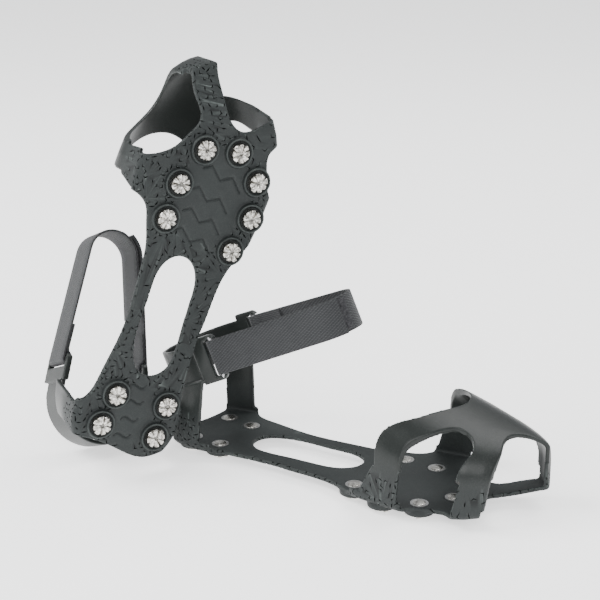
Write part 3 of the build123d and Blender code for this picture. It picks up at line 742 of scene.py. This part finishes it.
def makeStrip(name, start, heading, runs, width, thickness, material, flip):
    bm = bmesh.new()
    uvAcross = bm.verts.layers.float.new("across")
    uvAlong = bm.verts.layers.float.new("along")
    edges = stripProfile(bm, width, thickness)
    ends = list(edges)
    for vert in bm.verts:
        vert[uvAcross] = vert.co.z
    last = stripFrame(start, heading)
    bmesh.ops.transform(bm, matrix=last, verts=bm.verts)
    for place, facing, length in walkRuns(start, heading, runs, strap["step"]):
        grown = bmesh.ops.extrude_edge_only(bm, edges=edges)["geom"]
        verts = [item for item in grown if isinstance(item, bmesh.types.BMVert)]
        now = stripFrame(place, facing)
        bmesh.ops.transform(bm, matrix=now @ last.inverted(), verts=verts)
        for vert in verts:
            vert[uvAlong] = length
            vert[uvAcross] = vert.co.z
        edges = [item for item in grown if isinstance(item, bmesh.types.BMEdge)]
        last = now
    bmesh.ops.contextual_create(bm, geom=ends)
    bmesh.ops.contextual_create(bm, geom=edges)
    if flip:
        bmesh.ops.scale(bm, vec=(-1, 1, 1), verts=bm.verts)
    bmesh.ops.recalc_face_normals(bm, faces=bm.faces)
    uv = bm.loops.layers.uv.new("UVMap")
    for face in bm.faces:
        for loop in face.loops:
            loop[uv].uv = (loop.vert[uvAcross], loop.vert[uvAlong])
    bmesh.ops.transform(bm, matrix=leftLoop, verts=bm.verts)
    obj = keepMesh(bm, name)
    obj.data.materials.append(material)
    shadeByAngle(obj, 50)
    return obj


# place on the instep arc, with the angle from the bar's side, for a strip that turns left
def arcStart(radius, angle):
    around = pi - radians(angle)
    return Vector((radius * cos(around), instepForward + radius * sin(around), 0)), around + pi / 2


# round the bar, then in against the strap, where the end is sewn down
def eyeRuns():
    shift = 2 * strap["eyeRadius"] - strap["thickness"] - 0.05 * mm
    reach = 8 * mm
    bend = 2 * atan2(shift, reach)
    curve = reach / (2 * sin(bend)) * bend
    half = pi * strap["eyeRadius"]
    return [(half, 180), (curve, degrees(bend)), (curve, -degrees(bend)), (strap["tail"], 0)]


def overStrapRuns():
    radius = loopShape["instepRadius"] + strap["overOffset"]
    turn = strap["overEnd"] - degrees(sideAngle)
    start, heading = arcStart(radius, strap["overEnd"])
    runs = [(radius * radians(turn), turn), (sideLength - loopShape["barAlong"], 0)]
    return start, heading, runs + eyeRuns()


def underStrapRuns():
    radius = loopShape["instepRadius"] + strap["underOffset"]
    out = loopShape["barHalfSpan"]
    apart = hypot(out, instepForward)
    leave = pi + atan2(instepForward, out) + asin((radius - strap["eyeRadius"]) / apart)
    heading = pi / 2 + sideAngle
    around = Vector((cos(sideAngle), sin(sideAngle), 0)) * radius
    back = Vector((cos(heading), sin(heading), 0)) * strap["underFree"]
    start = Vector((0, instepForward, 0)) + around - back
    turn = degrees(leave - heading)
    line = apart * cos(asin((radius - strap["eyeRadius"]) / apart))
    return start, heading, [(strap["underFree"], 0), (radius * radians(turn), turn), (line, 0)] + eyeRuns()


def patchRuns(patch):
    radius = loopShape["instepRadius"] + patch["offset"]
    heading = pi / 2 + sideAngle
    around = Vector((cos(sideAngle), sin(sideAngle), 0)) * radius
    back = Vector((cos(heading), sin(heading), 0)) * patch["free"]
    start = Vector((0, instepForward, 0)) + around - back
    turn = patch["end"] - degrees(sideAngle)
    return start, heading, [(patch["free"], 0), (radius * radians(turn), turn)]


overStrap = makeStrip("leftOverStrap", *overStrapRuns(), strap["width"], strap["thickness"],
                      wovenWebbing, True)
underStrap = makeStrip("leftUnderStrap", *underStrapRuns(), strap["width"], strap["thickness"],
                       wovenWebbing, False)
hookPatch = makeStrip("leftHookPatch", *patchRuns(patches["hook"]), patches["width"],
                      patches["hook"]["thickness"], hookTape, False)
loopPatch = makeStrip("leftLoopPatch", *patchRuns(patches["loop"]), patches["width"],
                      patches["loop"]["thickness"], loopTape, False)

strapPieces = [
    (overStrap, "over_strap", "over_strap", "webbing"),
    (underStrap, "under_strap", "under_strap", "webbing"),
    (hookPatch, "over_strap", "hook_patch", "hook_tape"),
    (loopPatch, "under_strap", "loop_patch", "loop_tape"),
]
for obj, body, node, slot in strapPieces:
    twin = mirroredCopy(obj, obj.name.replace("left", "right"))
    for piece, side in ((obj, "left"), (twin, "right")):
        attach(piece, side + "_" + body)
        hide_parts(side + "_" + node)
print("straps made")


# floor, light and camera

studio = {
    "floor": 6.0,
    "floorColour": (0.94, 0.94, 0.94, 1),
    "floorGlow": 1.15,
    "worldColour": (0.92, 0.94, 0.96, 1),
    "worldStrength": 0.62,
    "lights": [  # place, size, watts
        ((0.6, -1.3, 1.5), 1.1, 44),
        ((1.5, 0.9, 1.3), 1.3, 30),
        ((-0.9, 0.4, 1.6), 1.2, 20),
    ],
    "target": (14.3, 110.5, 122.6),   # in the left foot's frame, mm
    "azimuth": 28,              # degrees from +X
    "elevation": 18,
    "distance": 1.01,
    "lens": 90.9,
}


target = footOrigin + Vector(studio["target"]) * mm


def makeFloor():
    bm = bmesh.new()
    bmesh.ops.create_grid(bm, x_segments=1, y_segments=1, size=studio["floor"] / 2)
    floor = keepMesh(bm, "floor")
    look = {"Base Color": studio["floorColour"], "Roughness": 0.7, "Emission Color": (1, 1, 1, 1),
            "Emission Strength": studio["floorGlow"]}
    material, tree, shader = startMaterial("paleFloor", look)
    floor.data.materials.append(material)


def makeLights():
    world = bpy.data.worlds.new("studio")
    world.use_nodes = True
    background = world.node_tree.nodes["Background"].inputs
    background["Color"].default_value = studio["worldColour"]
    background["Strength"].default_value = studio["worldStrength"]
    bpy.context.scene.world = world
    for number, (place, size, watts) in enumerate(studio["lights"]):
        lamp = bpy.data.lights.new(f"softLight{number + 1}", "AREA")
        lamp.energy = watts
        lamp.size = size
        obj = bpy.data.objects.new(lamp.name, lamp)
        obj.location = place
        aim = Vector(place) - target
        obj.rotation_euler = aim.to_track_quat("Z", "Y").to_euler()
        bpy.context.scene.collection.objects.link(obj)


def makeCamera():
    azimuth, elevation = radians(studio["azimuth"]), radians(studio["elevation"])
    toward = Vector((cos(azimuth) * cos(elevation), sin(azimuth) * cos(elevation), sin(elevation)))
    lens = bpy.data.cameras.new("camera")
    lens.lens = studio["lens"]
    camera = bpy.data.objects.new("camera", lens)
    camera.location = target + toward * studio["distance"]
    camera.rotation_euler = toward.to_track_quat("Z", "Y").to_euler()
    bpy.context.scene.collection.objects.link(camera)
    bpy.context.scene.camera = camera


makeFloor()
makeLights()
makeCamera()
print("studio made")
